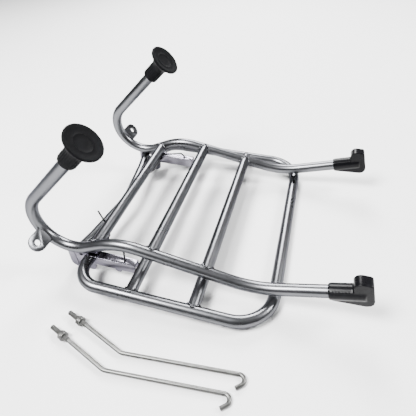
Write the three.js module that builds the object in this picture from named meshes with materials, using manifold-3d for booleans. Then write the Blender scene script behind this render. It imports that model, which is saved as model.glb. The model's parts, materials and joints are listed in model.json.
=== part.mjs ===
// Chromed fold-down luggage rack for a scooter. It lies as on a table, folded, with the side that
// faces the scooter upwards. Millimetres, +Z up, +X from the rubber feet to the hook caps, left is +Y.
//
// Fixed frame: two long bent tubes, three crossbars, gusset plates, tabs, rubber feet, hook caps.
// Folding platform: a tube loop open at the feet end, two crossbars and two channel links. The loop's
// two ends turn in towards each other and carry the hinge pins, which pass through the links and the
// gusset plates and through two torsion springs. Two loose J rods, each with a nut and a washer, pull
// the frame's tabs to the scooter.
//
// Side outlines are drawn in X and Z from two datums: crossbar 1 is at X = 0, and the middle of the
// platform's tubes is at Z = 0. The whole rack is turned at the end so that it rests on the table.
import * as THREE from 'three';
import * as BufferGeometryUtils from 'three/addons/utils/BufferGeometryUtils.js';
import Module from 'manifold-3d';

const wasm = await Module();
wasm.setup();

// ---------------------------------------------------------------- driving sizes
const GAP = 0.3; // between pieces that touch
const TUBE_OUTER = 16; // diameter of every frame and platform tube
const TUBE_WALL = 1.5;
const TUBE_SIDES = 16;
const BORE_SIDES = 12;

const FRAME_INNER_WIDTH = 235; // between the long tubes
const LOOP_WIDTH = 355; // outside the platform's long sides
const LOOP_LENGTH = 257; // from the hinge to the middle of the end bar
const LOOP_END_RADIUS = 48; // corners at the end bar, at the middle of the tube
const LOOP_HINGE_RADIUS = 32; // corners at the hinge end
const HINGE_X = -13;

// The long tube's middle line: where each straight stretch would meet the next, and the bends.
const LEG_ANGLE = 45; // degrees from level, of the leg that carries the foot
const LEG_TOP = { x: 14, z: 176.5 }; // the tube's end inside the rubber foot
const LEG_LEAN = 8; // how far the leg's top stands in towards the other leg
const HEEL_Z = 14; // lowest stretch, above the hinge
const HEEL_BEND = 46;
const RISE_START_X = -24;
const RISE_BEND = 55;
const ARCH_CORNER = { x: 36, z: 43 };
const ARCH_BEND = 90;
const DIP_CORNER = { x: 218.2, z: 11.9 };
const DIP_BEND = 120;
const TIP_ANGLE = 18.3; // degrees above level, of the stretch that carries the hook cap
const TIP_LENGTH = 120; // from the dip's corner to the tube's end inside the cap
const BEND_STEP = 11; // degrees of bend in one facet

const DRAIN_Y = 105; // a drain slot in the platform's end bar
const CROSSBARS_X = [0, 82, 155]; // fixed crossbars, welded between the long tubes
const PLATFORM_BARS_X = [66, 150]; // platform crossbars, welded between the loop's sides

const GUSSET_THICKNESS = 2.5;
const GUSSET_DROP = 30; // below the hinge
const GUSSET_REAR_X = -50;
const GUSSET_STOP_X = -9.3; // the edge that the link's web meets when the platform is open
const GUSSET_CORNER = 9;
const GUSSET_HOLE = { x: -28, z: 0.5, diameter: 5.5 };
const GUSSET_EYE = 12.5; // radius of the gusset round the hinge

const BRACE_OUTER = 14; // the bowed tube between the gussets
const BRACE_END_X = -37;
const BRACE_SHOULDER = { x: -29, y: 88, bend: 70 };
const BRACE_MIDDLE = { x: -17, bend: 150 };

const PIN_DIAMETER = 8;
const PIN_PLUG_LENGTH = 5; // inside the loop's tube
const PIN_END_Y = 77;
const PIN_NUT_Y = 79.5; // inner face of the nut
const PIN_NUT_FLATS = 13;
const PIN_NUT_THICKNESS = 6;

const TAB_THICKNESS = 3;
const TAB_WIDTH = 24;
const TAB_HOLE = 8.5;
const TAB_SPACING = 295; // between the two tabs' holes
const TAB_RISE = 5; // from the tube's middle to the plate's, towards the inside of the bend
const TAB_ANGLE = 217; // degrees round the heel bend, from +X towards +Z

const LINK_WIDTH = 12;
const LINK_HEIGHT = 16;
const LINK_WALL = 2;
const LINK_WEB_CLEARANCE = 3; // from the gusset's eye to the link's web
const LUG_X = 31; // a lug under the link's outer wall
const LUG_RADIUS = 5;

const SPRING_WIRE = 2.6;
const SPRING_COIL = 15.4; // diameter at the middle of the wire
const SPRING_TURNS = 8;
const SPRING_LEG = { x: 38, z: 20 }; // where the outer leg bends down to the link
const SPRING_LEG_END_X = 41;
const SPRING_HOOK_Y = 80; // where the inner leg stands behind crossbar 1
const SPRING_HOOK_TOPS = { right: 45, left: 31 }; // heights of the inner legs' ends

const FOOT_DISC = 46;
const FOOT_DISC_THICKNESS = 4;
const FOOT_SLEEVE = 23;
const FOOT_LENGTH = 41; // from the sleeve's mouth to the disc's rim
const FOOT_BORE_DEPTH = 26;
const ROUND_SIDES = 28;

const CAP_SLEEVE = 19.5;
const CAP_PADDLE_THICKNESS = 15;
const CAP_PADDLE_WIDTH = 20.5;
const CAP_PADDLE_UP = 25; // from the tube's middle
const CAP_PADDLE_DOWN = 19.5;
const CAP_PADDLE_SLANT = 6; // the top's fall towards the tip
const CAP_LENGTH = 48;
const CAP_BORE_DEPTH = 33;

const ROD_WIRE = 5;
const ROD_THREAD = 6;
const ROD_SHANK = 96; // from the threaded end to the bend
const ROD_REACH = 139; // from the bend to the start of the hook
const ROD_BEND = 24; // degrees
const ROD_BEND_RADIUS = 12;
const ROD_HOOK_RADIUS = 6;
const ROD_HOOK_TURN = 145; // degrees
const ROD_HOOK_TAIL = 7;
const ROD_THREAD_LENGTH = 34;
const NUT_FROM_END = 18;
const NUT_FLATS = 10;
const NUT_THICKNESS = 5;
const WASHER_OUTER = 12;
const WASHER_THICKNESS = 1.6;
const ROD_PLACES = [
  { name: 'a', x: -20, y: -224, turn: -20 },
  { name: 'b', x: -9, y: -201, turn: -20 },
];

// ---------------------------------------------------------------- worked out from them
const radians = THREE.MathUtils.degToRad;
const tubeRadius = TUBE_OUTER / 2;
const boreRadius = tubeRadius - TUBE_WALL;
const frameY = FRAME_INNER_WIDTH / 2 + tubeRadius; // middle of a long tube
const loopY = LOOP_WIDTH / 2 - tubeRadius; // middle of a loop side
const loopEndX = HINGE_X + LOOP_LENGTH;
const gussetInnerY = frameY - GUSSET_THICKNESS / 2;
const pinRadius = PIN_DIAMETER / 2;
const pinHole = pinRadius + GAP;
const linkWebX = HINGE_X + GUSSET_EYE + LINK_WEB_CLEARANCE;
const linkEndX = PLATFORM_BARS_X[0] - tubeRadius - GAP;
const linkInnerY = frameY - LINK_WIDTH / 2;
const linkOuterY = frameY + LINK_WIDTH / 2;
const loopTubeEndY = linkOuterY + GAP;
const tipSlope = Math.tan(radians(TIP_ANGLE));
const restTilt = Math.atan2(GUSSET_DROP - tubeRadius, loopEndX - (GUSSET_REAR_X + GUSSET_STOP_X) / 2);

const CHROME = { color: 0xc9cbce, roughness: 0.12, metalness: 1 };
const ZINC = { color: 0xa9a9a6, roughness: 0.4, metalness: 1 };
const DARK_WIRE = { color: 0x4a4a4c, roughness: 0.35, metalness: 1 };
const BLACK_RUBBER = { color: 0x17181a, roughness: 0.75, metalness: 0 };
const BLACK_PLASTIC = { color: 0x0c0c0d, roughness: 0.25, metalness: 0 };

// ---------------------------------------------------------------- shape helpers
// A curve through given stations, with a facet between each pair of them.
class StationCurve extends THREE.Curve {
  constructor(stations, closed) {
    super();
    this.stations = stations;
    this.closed = closed;
    this.count = closed ? stations.length : stations.length - 1;
  }
  station(index) {
    const total = this.stations.length;
    return this.stations[this.closed ? (index + total) % total : THREE.MathUtils.clamp(index, 0, total - 1)];
  }
  getPoint(t, target = new THREE.Vector3()) {
    return target.copy(this.station(Math.round(t * this.count)));
  }
  getPointAt(u, target) {
    return this.getPoint(u, target);
  }
  getTangentAt(u, target = new THREE.Vector3()) {
    const index = Math.round(u * this.count);
    const before = this.station(index).clone().sub(this.station(index - 1)).normalize();
    const after = this.station(index + 1).clone().sub(this.station(index)).normalize();
    return target.copy(before).add(after).normalize();
  }
}

// Stations along straight stretches between corners, with an arc of the given radius at each corner.
function bentLine(corners, closed = false) {
  const stations = [];
  corners.forEach((corner, index) => {
    const total = corners.length;
    const isEnd = !closed && (index === 0 || index === total - 1);
    if (isEnd || !corner.bend) {
      stations.push(corner.at.clone());
      return;
    }
    const toward = corners[(index + total - 1) % total].at.clone().sub(corner.at).normalize();
    const onward = corners[(index + 1) % total].at.clone().sub(corner.at).normalize();
    const turn = Math.PI - toward.angleTo(onward);
    const tangent = corner.bend * Math.tan(turn / 2);
    const middle = toward.clone().add(onward).normalize();
    const centre = corner.at.clone().addScaledVector(middle, corner.bend / Math.cos(turn / 2));
    const first = corner.at.clone().addScaledVector(toward, tangent).sub(centre);
    const axis = toward.clone().cross(onward).normalize().negate();
    const steps = Math.max(2, Math.round(THREE.MathUtils.radToDeg(turn) / BEND_STEP));
    for (let step = 0; step <= steps; step++) {
      stations.push(first.clone().applyAxisAngle(axis, (turn * step) / steps).add(centre));
    }
  });
  return new StationCurve(stations, closed);
}

function polygon(radius, sides, turn = 0) {
  const points = [];
  for (let side = 0; side < sides; side++) {
    const angle = turn + ((side + 0.5) * 2 * Math.PI) / sides;
    points.push(new THREE.Vector2(radius * Math.cos(angle), radius * Math.sin(angle)));
  }
  return points;
}

// A bar or, with a bore, a tube along an open curve.
function sweep(curve, radius, bore = 0, sides = TUBE_SIDES) {
  const section = new THREE.Shape(polygon(radius, sides));
  if (bore > 0) section.holes.push(new THREE.Path(polygon(bore, BORE_SIDES)));
  return new THREE.ExtrudeGeometry(section, { steps: curve.count, extrudePath: curve });
}

// A straight bar or tube from one point to another.
function straight(from, to, radius, bore = 0, sides = TUBE_SIDES) {
  return sweep(new StationCurve([from, to], false), radius, bore, sides);
}

function across(x, z, halfWidth, radius, bore = 0, sides = TUBE_SIDES) {
  const from = new THREE.Vector3(x, -halfWidth, z);
  const to = new THREE.Vector3(x, halfWidth, z);
  return straight(from, to, radius, bore, sides);
}

// An outline in X and Z, extruded along Y from one place to another.
function sidePlate(shape, fromY, toY, curveSegments = 8) {
  const geometry = new THREE.ExtrudeGeometry(shape, {
    depth: toY - fromY,
    bevelEnabled: false,
    curveSegments,
  });
  geometry.rotateX(Math.PI / 2);
  geometry.translate(0, toY, 0);
  return geometry;
}

function box(fromX, toX, fromY, toY, fromZ, toZ) {
  const geometry = new THREE.BoxGeometry(toX - fromX, toY - fromY, toZ - fromZ);
  geometry.translate((fromX + toX) / 2, (fromY + toY) / 2, (fromZ + toZ) / 2);
  return geometry;
}

function solid(geometry) {
  const bare = geometry.clone();
  bare.deleteAttribute('normal');
  bare.deleteAttribute('uv');
  const merged = BufferGeometryUtils.mergeVertices(bare, 1e-4);
  const mesh = new wasm.Mesh({
    numProp: 3,
    vertProperties: new Float32Array(merged.attributes.position.array),
    triVerts: new Uint32Array(merged.index.array),
  });
  return new wasm.Manifold(mesh);
}

function joined(geometry, ...others) {
  return geometryOf(others.reduce((sum, other) => sum.add(solid(other)), solid(geometry)));
}

function cut(geometry, ...tools) {
  return geometryOf(tools.reduce((left, tool) => left.subtract(solid(tool)), solid(geometry)));
}

function geometryOf(manifold) {
  const mesh = manifold.getMesh();
  const geometry = new THREE.BufferGeometry();
  geometry.setAttribute('position', new THREE.BufferAttribute(new Float32Array(mesh.vertProperties), 3));
  geometry.setIndex(new THREE.BufferAttribute(new Uint32Array(mesh.triVerts), 1));
  return geometry;
}

// The same shape on the other side of the rack, with its faces still outwards.
function mirrored(geometry) {
  const copy = geometry.index ? geometry.toNonIndexed() : geometry.clone();
  const position = copy.attributes.position;
  for (let corner = 0; corner < position.count; corner++) position.setY(corner, -position.getY(corner));
  const array = position.array;
  for (let face = 0; face < array.length; face += 9) {
    for (let axis = 0; axis < 3; axis++) {
      const kept = array[face + axis];
      array[face + axis] = array[face + 3 + axis];
      array[face + 3 + axis] = kept;
    }
  }
  const bare = new THREE.BufferGeometry();
  bare.setAttribute('position', new THREE.BufferAttribute(array, 3));
  return bare;
}

const rack = new THREE.Group();

function place(name, geometry, finish, parent = rack) {
  geometry.deleteAttribute('normal');
  geometry.computeVertexNormals();
  const mesh = new THREE.Mesh(geometry, new THREE.MeshStandardMaterial(finish));
  mesh.name = name;
  parent.add(mesh);
  return mesh;
}

function placePair(name, leftGeometry, finish) {
  place(`${name}_left`, leftGeometry, finish);
  place(`${name}_right`, mirrored(leftGeometry), finish);
}

// ---------------------------------------------------------------- fixed frame
const legDirection = new THREE.Vector3(Math.cos(radians(LEG_ANGLE)), 0, Math.sin(radians(LEG_ANGLE)));
const heelCorner = new THREE.Vector3(
  LEG_TOP.x - (LEG_TOP.z - HEEL_Z) / Math.tan(radians(LEG_ANGLE)),
  frameY,
  HEEL_Z,
);
const legTop = new THREE.Vector3(LEG_TOP.x, frameY - LEG_LEAN, LEG_TOP.z);
const tipEnd = new THREE.Vector3(
  DIP_CORNER.x + TIP_LENGTH * Math.cos(radians(TIP_ANGLE)),
  frameY,
  DIP_CORNER.z + TIP_LENGTH * Math.sin(radians(TIP_ANGLE)),
);
const longTubeCurve = bentLine([
  { at: legTop },
  { at: heelCorner, bend: HEEL_BEND },
  { at: new THREE.Vector3(RISE_START_X, frameY, HEEL_Z), bend: RISE_BEND },
  { at: new THREE.Vector3(ARCH_CORNER.x, frameY, ARCH_CORNER.z), bend: ARCH_BEND },
  { at: new THREE.Vector3(DIP_CORNER.x, frameY, DIP_CORNER.z), bend: DIP_BEND },
  { at: tipEnd },
]);
const longTubeSpace = sweep(longTubeCurve, tubeRadius + GAP);

function longTube() {
  return sweep(longTubeCurve, tubeRadius, boreRadius);
}

// Height of the long tube's middle over a place along the rack, between heel and tip.
function longTubeHeight(x) {
  const stations = longTubeCurve.stations;
  for (let index = 1; index < stations.length; index++) {
    const from = stations[index - 1];
    const to = stations[index];
    if (from.z < legTop.z / 2 && from.x <= x && x <= to.x) {
      return THREE.MathUtils.mapLinear(x, from.x, to.x, from.z, to.z);
    }
  }
  throw new Error(`the long tube has no point over x = ${x}`);
}

function frameCrossbar(x) {
  const bar = across(x, longTubeHeight(x), frameY, tubeRadius, boreRadius);
  return cut(bar, longTubeSpace, mirrored(longTubeSpace));
}

function roundedOutline(corners) {
  const points = corners.map((corner) => ({ at: new THREE.Vector3(corner[0], corner[1], 0), bend: corner[2] }));
  const stations = bentLine(points, true).stations;
  return new THREE.Shape(stations.map((station) => new THREE.Vector2(station.x, station.y)));
}

function circleHole(x, z, radius, sides) {
  const points = polygon(radius, sides).map((point) => point.add(new THREE.Vector2(x, z)));
  return new THREE.Path(points);
}

function gusset() {
  const rightX = HINGE_X + GUSSET_EYE;
  const eyePoint = (degrees) => [
    HINGE_X + GUSSET_EYE * Math.cos(radians(degrees)),
    -GUSSET_EYE * Math.sin(radians(degrees)),
    0,
  ];
  const shape = roundedOutline([
    [GUSSET_REAR_X + 2, HEEL_Z, 0],
    [GUSSET_REAR_X, -GUSSET_DROP, GUSSET_CORNER],
    [GUSSET_STOP_X, -GUSSET_DROP, GUSSET_CORNER],
    [GUSSET_STOP_X, -GUSSET_EYE, 0],
    eyePoint(60),
    eyePoint(30),
    [rightX, 0, 0],
    [rightX, LINK_HEIGHT / 2, 0],
    [rightX, longTubeHeight(rightX), 0],
    [RISE_START_X, HEEL_Z, 0],
  ]);
  shape.holes.push(circleHole(HINGE_X, 0, pinHole, TUBE_SIDES));
  shape.holes.push(circleHole(GUSSET_HOLE.x, GUSSET_HOLE.z, GUSSET_HOLE.diameter / 2, BORE_SIDES));
  const plate = sidePlate(shape, gussetInnerY, gussetInnerY + GUSSET_THICKNESS);
  return cut(plate, longTubeSpace);
}

// A bowed tube between the two gussets. Each end butts against a gusset's inner face.
function braceTube() {
  const at = (x, y) => new THREE.Vector3(x, y, 0);
  const end = gussetInnerY - GAP;
  const curve = bentLine([
    { at: at(BRACE_END_X, -end) },
    { at: at(BRACE_SHOULDER.x, -BRACE_SHOULDER.y), bend: BRACE_SHOULDER.bend },
    { at: at(BRACE_MIDDLE.x, 0), bend: BRACE_MIDDLE.bend },
    { at: at(BRACE_SHOULDER.x, BRACE_SHOULDER.y), bend: BRACE_SHOULDER.bend },
    { at: at(BRACE_END_X, end) },
  ]);
  const beyond = BRACE_OUTER;
  const wide = box(BRACE_END_X - beyond, 0, -end, end, -beyond, beyond);
  curve.stations[0].y -= 2;
  curve.stations[curve.stations.length - 1].y += 2;
  const tube = sweep(curve, BRACE_OUTER / 2, BRACE_OUTER / 2 - TUBE_WALL);
  const trimmed = geometryOf(solid(tube).intersect(solid(wide)));
  return cut(trimmed, longTubeSpace, mirrored(longTubeSpace));
}

// A flat plate welded to the outer side of the heel bend, with a round outer end and a hole.
function tab() {
  const heelCentre = new THREE.Vector3(heelCorner.x, frameY, HEEL_Z + HEEL_BEND);
  heelCentre.x += HEEL_BEND / Math.tan(radians(LEG_ANGLE) / 2);
  const seat = HEEL_BEND - TAB_RISE - TAB_THICKNESS / 2;
  const shape = new THREE.Shape();
  const holeY = TAB_SPACING / 2;
  shape.moveTo(frameY, -TAB_WIDTH / 2);
  shape.lineTo(holeY, -TAB_WIDTH / 2);
  shape.absarc(holeY, 0, TAB_WIDTH / 2, -Math.PI / 2, Math.PI / 2, false);
  shape.lineTo(frameY, TAB_WIDTH / 2);
  shape.closePath();
  shape.holes.push(circleHole(holeY, 0, TAB_HOLE / 2, TUBE_SIDES));
  const geometry = new THREE.ExtrudeGeometry(shape, { depth: TAB_THICKNESS, bevelEnabled: false, curveSegments: 8 });
  const outward = new THREE.Vector3(Math.cos(radians(TAB_ANGLE)), 0, Math.sin(radians(TAB_ANGLE)));
  const along = new THREE.Vector3(0, 1, 0);
  const sideways = outward.clone().cross(along);
  const turn = new THREE.Matrix4().makeBasis(along, sideways, outward.clone());
  if (turn.determinant() < 0) turn.makeBasis(along, sideways.negate(), outward.clone());
  geometry.applyMatrix4(turn);
  geometry.translate(heelCentre.x + outward.x * seat, 0, heelCentre.z + outward.z * seat);
  return cut(geometry, longTubeSpace);
}

// A lathe turned so that its own Y axis lies along a direction, from a place.
function turnedOn(profile, origin, direction, sides = ROUND_SIDES) {
  const points = profile.map(([radius, along]) => new THREE.Vector2(radius, along));
  const geometry = new THREE.LatheGeometry(points, sides);
  const turn = new THREE.Quaternion().setFromUnitVectors(new THREE.Vector3(0, 1, 0), direction);
  geometry.applyQuaternion(turn);
  geometry.translate(origin.x, origin.y, origin.z);
  return geometry;
}

const legAxis = legTop.clone().sub(heelCorner).normalize();

function foot() {
  const bore = tubeRadius + GAP;
  const sleeve = FOOT_SLEEVE / 2;
  const rim = FOOT_DISC / 2;
  const back = FOOT_LENGTH - FOOT_DISC_THICKNESS;
  const mouth = legTop.clone().addScaledVector(legAxis, GAP - FOOT_BORE_DEPTH);
  const profile = [
    [0, FOOT_BORE_DEPTH],
    [bore, FOOT_BORE_DEPTH],
    [bore, 0],
    [sleeve - 1, 0],
    [sleeve, 1.5],
    [sleeve, 22],
    [sleeve + 1.5, 27],
    [sleeve + 5, back - 4],
    [rim - 2, back],
    [rim, back + 1.5],
    [rim, FOOT_LENGTH],
    [rim - 1.5, FOOT_LENGTH + 0.5],
    [rim * 0.55, FOOT_LENGTH - 2],
    [0, FOOT_LENGTH - 2],
  ];
  return turnedOn(profile, mouth, legAxis);
}

// A sleeve over the tube's end with an upright paddle, which hooks over the scooter's panel.
function hookCap() {
  const axis = new THREE.Vector3(Math.cos(radians(TIP_ANGLE)), 0, Math.sin(radians(TIP_ANGLE)));
  const mouth = tipEnd.clone().addScaledVector(axis, GAP - CAP_BORE_DEPTH);
  const sleeve = turnedOn(
    [
      [0, 0],
      [CAP_SLEEVE / 2 - 1, 0],
      [CAP_SLEEVE / 2, 1],
      [CAP_SLEEVE / 2, CAP_BORE_DEPTH + 6],
      [0, CAP_BORE_DEPTH + 6],
    ],
    mouth,
    axis,
  );
  const bore = turnedOn(
    [
      [0, -2],
      [tubeRadius + GAP, -2],
      [tubeRadius + GAP, CAP_BORE_DEPTH],
      [0, CAP_BORE_DEPTH],
    ],
    mouth,
    axis,
  );
  const paddleRear = CAP_LENGTH - CAP_PADDLE_WIDTH;
  const inside = CAP_SLEEVE / 2 - 2;
  const outline = roundedOutline([
    [3, inside, 0],
    [3, -inside, 0],
    [CAP_LENGTH, -CAP_PADDLE_DOWN, 9],
    [CAP_LENGTH, CAP_PADDLE_UP - CAP_PADDLE_SLANT, 4],
    [paddleRear, CAP_PADDLE_UP, 8],
    [paddleRear, inside, 0],
  ]);
  const paddle = sidePlate(outline, -CAP_PADDLE_THICKNESS / 2, CAP_PADDLE_THICKNESS / 2);
  paddle.rotateY(-radians(TIP_ANGLE));
  paddle.translate(mouth.x, mouth.y, mouth.z);
  return cut(joined(sleeve, paddle), bore);
}

// ---------------------------------------------------------------- folding platform
const loopCurve = bentLine([
  { at: new THREE.Vector3(HINGE_X, loopTubeEndY, 0) },
  { at: new THREE.Vector3(HINGE_X, loopY, 0), bend: LOOP_HINGE_RADIUS },
  { at: new THREE.Vector3(loopEndX, loopY, 0), bend: LOOP_END_RADIUS },
  { at: new THREE.Vector3(loopEndX, -loopY, 0), bend: LOOP_END_RADIUS },
  { at: new THREE.Vector3(HINGE_X, -loopY, 0), bend: LOOP_HINGE_RADIUS },
  { at: new THREE.Vector3(HINGE_X, -loopTubeEndY, 0) },
]);
const loopSpace = sweep(loopCurve, tubeRadius + GAP);

// A drain slot opens the top of the end bar.
function platformLoop() {
  const slot = box(loopEndX - 1.5, loopEndX + 1.5, DRAIN_Y - 6, DRAIN_Y + 6, boreRadius - 2, tubeRadius + 1);
  return cut(sweep(loopCurve, tubeRadius, boreRadius), slot);
}

function platformBar(x) {
  return cut(across(x, 0, loopY, tubeRadius, boreRadius), loopSpace);
}

// A channel, open below. Its two walls pass either side of the gusset and end round the hinge pin.
function platformLink() {
  const half = LINK_HEIGHT / 2;
  const outline = new THREE.Shape();
  outline.moveTo(linkEndX, -half);
  outline.lineTo(linkEndX, half);
  outline.lineTo(HINGE_X, half);
  outline.absarc(HINGE_X, 0, half, Math.PI / 2, (3 * Math.PI) / 2, false);
  outline.closePath();
  outline.holes.push(circleHole(HINGE_X, 0, pinHole, TUBE_SIDES));
  const outer = sidePlate(outline, linkInnerY, linkOuterY, 5);
  const lugPoints = polygon(LUG_RADIUS, TUBE_SIDES).map((point) => point.add(new THREE.Vector2(LUG_X, -half)));
  const lug = sidePlate(new THREE.Shape(lugPoints), linkOuterY - LINK_WALL, linkOuterY);
  const walls = [linkInnerY + LINK_WALL, linkOuterY - LINK_WALL];
  const hollow = box(HINGE_X - half - 1, linkEndX + 1, ...walls, -half - LUG_RADIUS, half - LINK_WALL);
  const mouth = box(HINGE_X - half - 1, linkWebX, ...walls, -half - 1, half + 1);
  const hole = straight(
    new THREE.Vector3(SPRING_LEG_END_X, frameY, half - LINK_WALL - 1),
    new THREE.Vector3(SPRING_LEG_END_X, frameY, half + 1),
    SPRING_WIRE / 2 + GAP,
    0,
    BORE_SIDES,
  );
  return cut(joined(outer, lug), hollow, mouth, hole);
}

// A pin with a wider plug, which fills the end of the loop's tube.
function hingePin() {
  const plug = boreRadius * Math.cos(Math.PI / BORE_SIDES) - GAP;
  const profile = [
    [0, PIN_END_Y],
    [pinRadius - 0.8, PIN_END_Y],
    [pinRadius, PIN_END_Y + 0.8],
    [pinRadius, loopTubeEndY],
    [plug, loopTubeEndY],
    [plug, loopTubeEndY + PIN_PLUG_LENGTH],
    [0, loopTubeEndY + PIN_PLUG_LENGTH],
  ];
  return turnedOn(profile, new THREE.Vector3(HINGE_X, 0, 0), new THREE.Vector3(0, 1, 0), TUBE_SIDES);
}

function pinNut() {
  const shape = new THREE.Shape(polygon(PIN_NUT_FLATS / 2 / Math.cos(Math.PI / 6), 6));
  shape.holes.push(new THREE.Path(polygon(pinHole, TUBE_SIDES)));
  const geometry = sidePlate(shape, PIN_NUT_Y, PIN_NUT_Y + PIN_NUT_THICKNESS);
  geometry.translate(HINGE_X, 0, 0);
  return geometry;
}

// A torsion spring round the hinge pin. Its outer leg hooks into the link, and its inner leg stands
// behind crossbar 1.
function torsionSpring(hookTop) {
  const coil = SPRING_COIL / 2;
  const outerY = linkInnerY - GAP - SPRING_WIRE / 2 - 0.3;
  const innerY = PIN_NUT_Y + PIN_NUT_THICKNESS + GAP + SPRING_WIRE / 2 + 0.3;
  const linkTop = LINK_HEIGHT / 2;
  const at = (x, y, z) => new THREE.Vector3(x, y, z);
  const behindX = CROSSBARS_X[0] - tubeRadius - GAP - SPRING_WIRE / 2;
  const barZ = longTubeHeight(CROSSBARS_X[0]);
  const stations = [
    at(behindX - (hookTop - barZ) * 0.3, -SPRING_HOOK_Y, hookTop),
    at(behindX, -SPRING_HOOK_Y, barZ),
    at(behindX, -SPRING_HOOK_Y - 1, coil + 9),
    at(behindX, -SPRING_HOOK_Y - 4, coil + 4),
  ];
  const facets = 10;
  const firstAngle = 70;
  const turnTotal = -(SPRING_TURNS * 360 + 330);
  const count = Math.round((-turnTotal / 360) * facets);
  for (let step = 0; step <= count; step++) {
    const angle = radians(firstAngle + (turnTotal * step) / count);
    const y = THREE.MathUtils.lerp(innerY, outerY, step / count);
    stations.push(at(HINGE_X + coil * Math.cos(angle), -y, coil * Math.sin(angle)));
  }
  stations.push(at(HINGE_X + coil + 2, -outerY, coil + 3.5));
  stations.push(at(SPRING_LEG.x - 3, -outerY - 1, SPRING_LEG.z));
  stations.push(at(SPRING_LEG.x, -outerY - 2, SPRING_LEG.z - 1.5));
  stations.push(at(SPRING_LEG_END_X, -frameY, linkTop + 2));
  stations.push(at(SPRING_LEG_END_X, -frameY, linkTop - LINK_WALL - 1));
  return sweep(new StationCurve(stations, false), SPRING_WIRE / 2, 0, 6);
}

// ---------------------------------------------------------------- J rods
function rodCurve() {
  const hookTurn = radians(ROD_HOOK_TURN);
  const bendTurn = radians(ROD_BEND);
  const onward = new THREE.Vector3(Math.cos(bendTurn), Math.sin(bendTurn), 0);
  const bend = new THREE.Vector3(ROD_SHANK, 0, 0);
  const hookStart = bend.clone().addScaledVector(onward, ROD_REACH);
  const side = new THREE.Vector3(onward.y, -onward.x, 0);
  const start = new THREE.Vector3(0, 0, 0);
  const line = bentLine([{ at: start }, { at: bend, bend: ROD_BEND_RADIUS }, { at: hookStart }]);
  const centre = hookStart.clone().addScaledVector(side, ROD_HOOK_RADIUS);
  const stations = line.stations;
  const steps = 10;
  const arm = hookStart.clone().sub(centre);
  const upright = new THREE.Vector3(0, 0, 1);
  for (let step = 1; step <= steps; step++) {
    stations.push(arm.clone().applyAxisAngle(upright, (-hookTurn * step) / steps).add(centre));
  }
  const last = onward.clone().applyAxisAngle(upright, -hookTurn);
  stations.push(stations[stations.length - 1].clone().addScaledVector(last, ROD_HOOK_TAIL));
  stations.splice(1, 0, new THREE.Vector3(ROD_THREAD_LENGTH, 0, 0));
  return new StationCurve(stations, false);
}

function jRod() {
  const thread = straight(
    new THREE.Vector3(0, 0, 0),
    new THREE.Vector3(ROD_THREAD_LENGTH, 0, 0),
    ROD_THREAD / 2,
    0,
    12,
  );
  return joined(sweep(rodCurve(), ROD_WIRE / 2, 0, 10), thread);
}

function ringAlongX(outerPoints, innerRadius, fromX, thickness) {
  const shape = new THREE.Shape(outerPoints);
  shape.holes.push(new THREE.Path(polygon(innerRadius, 12)));
  const geometry = new THREE.ExtrudeGeometry(shape, { depth: thickness, bevelEnabled: false });
  geometry.rotateY(Math.PI / 2);
  geometry.translate(fromX, 0, 0);
  return geometry;
}

function rodNut() {
  const corner = NUT_FLATS / 2 / Math.cos(Math.PI / 6);
  return ringAlongX(polygon(corner, 6), ROD_THREAD / 2 + GAP, NUT_FROM_END, NUT_THICKNESS);
}

function rodWasher() {
  const from = NUT_FROM_END + NUT_THICKNESS + GAP;
  return ringAlongX(polygon(WASHER_OUTER / 2, ROUND_SIDES), ROD_THREAD / 2 + GAP, from, WASHER_THICKNESS);
}

// ---------------------------------------------------------------- the rack, lying folded
placePair('long_tube', longTube(), CHROME);
CROSSBARS_X.forEach((x, index) => place(`frame_crossbar_${index + 1}`, frameCrossbar(x), CHROME));
placePair('gusset_plate', gusset(), CHROME);
place('brace_tube', braceTube(), CHROME);
placePair('fixing_tab', tab(), CHROME);
placePair('rubber_foot', foot(), BLACK_RUBBER);
placePair('hook_cap', hookCap(), BLACK_PLASTIC);
place('platform_loop', platformLoop(), CHROME);
PLATFORM_BARS_X.forEach((x, index) => place(`platform_bar_${index + 1}`, platformBar(x), CHROME));
placePair('platform_link', platformLink(), CHROME);
placePair('hinge_pin', hingePin(), ZINC);
placePair('hinge_nut', pinNut(), ZINC);
place('torsion_spring_right', torsionSpring(SPRING_HOOK_TOPS.right), DARK_WIRE);
place('torsion_spring_left', mirrored(torsionSpring(SPRING_HOOK_TOPS.left)), DARK_WIRE);
rack.rotation.y = restTilt;

const assembly = new THREE.Group();
assembly.add(rack);
rack.updateMatrixWorld(true);
rack.position.z = -new THREE.Box3().setFromObject(rack, true).min.z;

// Each rod lies on its washer and on the far end of its hook.
const rodPitch = Math.asin((WASHER_OUTER - ROD_WIRE) / 2 / (ROD_SHANK + ROD_REACH - NUT_FROM_END));
for (const spot of ROD_PLACES) {
  const rod = new THREE.Group();
  place(`j_rod_${spot.name}`, jRod(), ZINC, rod);
  place(`rod_nut_${spot.name}`, rodNut(), ZINC, rod);
  place(`rod_washer_${spot.name}`, rodWasher(), ZINC, rod);
  rod.rotation.set(0, rodPitch, radians(spot.turn), 'ZYX');
  rod.position.set(spot.x, spot.y, 0);
  rod.updateMatrixWorld(true);
  rod.position.z = -new THREE.Box3().setFromObject(rod, true).min.z;
  assembly.add(rod);
}

// The origin is under the middle of the whole, on the table.
assembly.updateMatrixWorld(true);
const whole = new THREE.Box3().setFromObject(assembly, true);
assembly.position.set(-(whole.min.x + whole.max.x) / 2, -(whole.min.y + whole.max.y) / 2, -whole.min.z);

export default assembly;
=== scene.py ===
"""Looks for a chromed folding luggage rack for a scooter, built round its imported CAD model."""

import json
import math

import bpy
from bpy.props import FloatProperty, FloatVectorProperty, IntProperty, PointerProperty
from mathutils import Matrix, Quaternion, Vector, noise


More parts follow.
